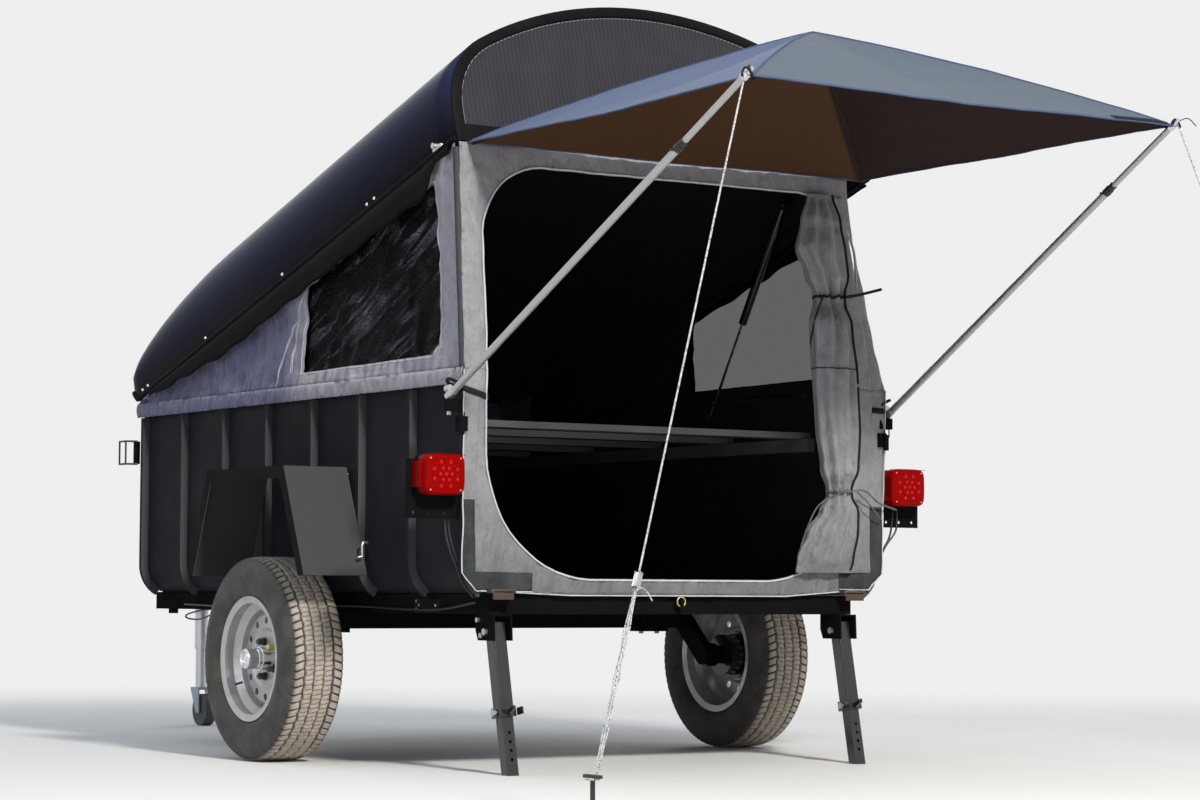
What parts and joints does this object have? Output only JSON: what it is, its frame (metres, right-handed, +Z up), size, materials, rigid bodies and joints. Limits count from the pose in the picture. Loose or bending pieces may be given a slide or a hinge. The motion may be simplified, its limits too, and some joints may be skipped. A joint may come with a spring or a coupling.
{
  "type": "pop-up camping trailer",
  "caption": "Towed camping trailer with a ribbed tub, rear tent door, side windows, hip awning on poles and an arched lid that hinges open at the front.",
  "frame": {"origin": "on the ground, at the middle of the whole footprint, which is also below the middle of the axle", "axes": "+X the towing direction, towards the coupler, +Y the left side, +Z up"},
  "size_m": [5.26, 2.784, 2.3536],
  "materials": {
    "tyre_rubber": "worn, dusty tread",
    "silver_paint": "satin silver",
    "chrome_hub": "polished",
    "black_steel": "satin powder coat",
    "zinc_steel": "zinc plated",
    "satin_black": "satin",
    "gloss_black": "gloss",
    "lid_gloss": "high gloss gel coat",
    "ribbed_grey": "fine vertical ribs",
    "grey_cloth": "woven polycotton",
    "green_cloth": "woven polyester, proofed",
    "pole_aluminium": "anodised",
    "white_rope": "braided",
    "red_lens": "moulded lens",
    "slat_dark": "satin",
    "caster_rubber": "solid",
    "bright_steel": "ground"
  },
  "bodies": {
    "trailer": {"awning_bows": "pole_aluminium", "awning_cloth": "green_cloth", "awning_poles": "pole_aluminium", "axle_arms": "black_steel", "axle_beam": "black_steel", "bed_bearers": "slat_dark", "bed_slats": "slat_dark", "chassis_brackets": "black_steel", "coupler": "zinc_steel", "cross_members": "black_steel", "door_roll_lower": "grey_cloth", "door_roll_upper": "grey_cloth", "drawbar": "black_steel", "fenders": "satin_black", "guy_ropes": "white_rope", "hinge_lower_leaves": "zinc_steel", "jack_tube": "zinc_steel", "lamp_brackets": "black_steel", "lamp_housings": "gloss_black", "latches": "zinc_steel", "pegs": "zinc_steel", "pole_clamps": "zinc_steel", "rear_beam": "black_steel", "rear_cloth_lower": "grey_cloth", "rear_cloth_upper": "grey_cloth", "rear_lamps": "red_lens", "rear_posts": "black_steel", "rim_hem": "grey_cloth", "side_cloths": "grey_cloth", "side_rails": "black_steel", "strut_lower_pins": "bright_steel", "tub_floor": "satin_black", "tub_front": "satin_black", "tub_sides": "satin_black"},
    "wheel_left": {"tyre_left": "tyre_rubber", "rim_left": "silver_paint", "hub_left": "chrome_hub"},
    "wheel_right": {"tyre_right": "tyre_rubber", "rim_right": "silver_paint", "hub_right": "chrome_hub"},
    "lid": {"lid_shell": "lid_gloss", "lid_end_panel": "ribbed_grey", "strut_upper_pins": "bright_steel", "hinge_upper_leaves": "zinc_steel"},
    "strut_cylinder_left_body": {"strut_cylinder_left": "gloss_black"},
    "strut_cylinder_right_body": {"strut_cylinder_right": "gloss_black"},
    "strut_rod_left_body": {"strut_rod_left": "bright_steel"},
    "strut_rod_right_body": {"strut_rod_right": "bright_steel"},
    "leg_left": {"leg_outer_left": "gloss_black"},
    "leg_right": {"leg_outer_right": "gloss_black"},
    "foot_left": {"leg_inner_left": "gloss_black"},
    "foot_right": {"leg_inner_right": "gloss_black"},
    "jack_stem": {"jack_inner": "zinc_steel"},
    "jack_caster": {"jack_fork": "zinc_steel"},
    "jack_roller": {"jack_wheel": "caster_rubber"}
  },
  "joints": [
    {"name": "wheel_left_spin", "type": "hinge", "parent": "trailer", "child": "wheel_left", "pos_m": [0, 0.893, 0.319], "axis": [0, 1, 0], "continuous": true},
    {"name": "wheel_right_spin", "type": "hinge", "parent": "trailer", "child": "wheel_right", "pos_m": [0, -0.893, 0.319], "axis": [0, 1, 0], "continuous": true},
    {"name": "lid_hinge", "type": "hinge", "parent": "trailer", "child": "lid", "pos_m": [1.287, 0, 1.186], "axis": [0, 1, 0], "range_deg": [-16.75, 0], "deforming": ["side_cloths", "rear_cloth_upper", "door_roll_upper", "awning_cloth", "awning_bows"]},
    {"name": "leg_left_swing", "type": "hinge", "parent": "trailer", "child": "leg_left", "pos_m": [-0.925, 0.637, 0.415], "axis": [0, 1, 0], "range_deg": [-102, 0]},
    {"name": "leg_right_swing", "type": "hinge", "parent": "trailer", "child": "leg_right", "pos_m": [-0.925, -0.637, 0.415], "axis": [0, 1, 0], "range_deg": [-102, 0]},
    {"name": "foot_left_slide", "type": "slide", "parent": "leg_left", "child": "foot_left", "axis": [0.2079, 0, 0.9781], "range_m": [0, 0.15]},
    {"name": "foot_right_slide", "type": "slide", "parent": "leg_right", "child": "foot_right", "axis": [0.2079, 0, 0.9781], "range_m": [0, 0.15]},
    {"name": "jack_slide", "type": "slide", "parent": "trailer", "child": "jack_stem", "axis": [0, 0, 1], "range_m": [0, 0.12]},
    {"name": "jack_swivel", "type": "hinge", "parent": "jack_stem", "child": "jack_caster", "pos_m": [2.36, 0, 0.149], "axis": [0, 0, 1], "continuous": true},
    {"name": "jack_wheel_spin", "type": "hinge", "parent": "jack_caster", "child": "jack_roller", "pos_m": [2.326, 0, 0.062], "axis": [0, 1, 0], "continuous": true},
    {"name": "strut_left_pivot", "type": "hinge", "parent": "lid", "child": "strut_cylinder_left_body", "pos_m": [-0.52, 0.715, 1.815], "axis": [0, 1, 0], "range_deg": [-27.64, 0]},
    {"name": "strut_left_slide", "type": "slide", "parent": "strut_cylinder_left_body", "child": "strut_rod_left_body", "axis": [-0.5227, 0, 0.8525], "range_m": [0, 0.2642]},
    {"name": "strut_right_pivot", "type": "hinge", "parent": "lid", "child": "strut_cylinder_right_body", "pos_m": [-0.52, -0.715, 1.815], "axis": [0, 1, 0], "range_deg": [-27.64, 0]},
    {"name": "strut_right_slide", "type": "slide", "parent": "strut_cylinder_right_body", "child": "strut_rod_right_body", "axis": [-0.5227, 0, 0.8525], "range_m": [0, 0.2642]}
  ],
  "couplings": [
    {"joint": "strut_left_pivot", "follows": "lid_hinge", "ratio": 1.6146},
    {"joint": "strut_left_slide", "follows": "lid_hinge", "m_per_rad": -0.89337},
    {"joint": "strut_right_pivot", "follows": "lid_hinge", "ratio": 1.6146},
    {"joint": "strut_right_slide", "follows": "lid_hinge", "m_per_rad": -0.89337}
  ]
}
